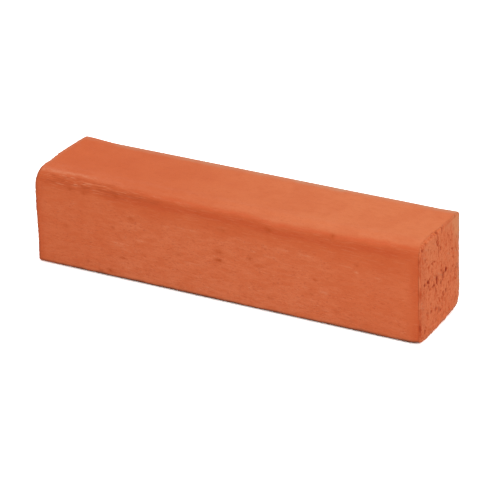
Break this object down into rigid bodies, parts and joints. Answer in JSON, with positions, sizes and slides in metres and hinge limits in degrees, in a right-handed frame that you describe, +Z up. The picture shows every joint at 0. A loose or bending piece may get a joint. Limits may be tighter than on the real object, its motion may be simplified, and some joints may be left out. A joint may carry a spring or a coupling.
{
  "type": "clay brick",
  "caption": "Slim square-section solid clay facing brick with a soft rolled arris along its show face and rough wire-cut ends.",
  "frame": {"origin": "centre of the brick's plan, on the bed face that it lies on", "axes": "+X along the length, -Y out of the show face, +Z up"},
  "size_m": [0.2199, 0.05, 0.052],
  "materials": {
    "fired_clay": "matt unglazed red-orange fired clay, smooth on the long faces and rough and pitted on the wire-cut ends"
  },
  "bodies": {
    "root": {"brick": "fired_clay"}
  },
  "joints": []
}
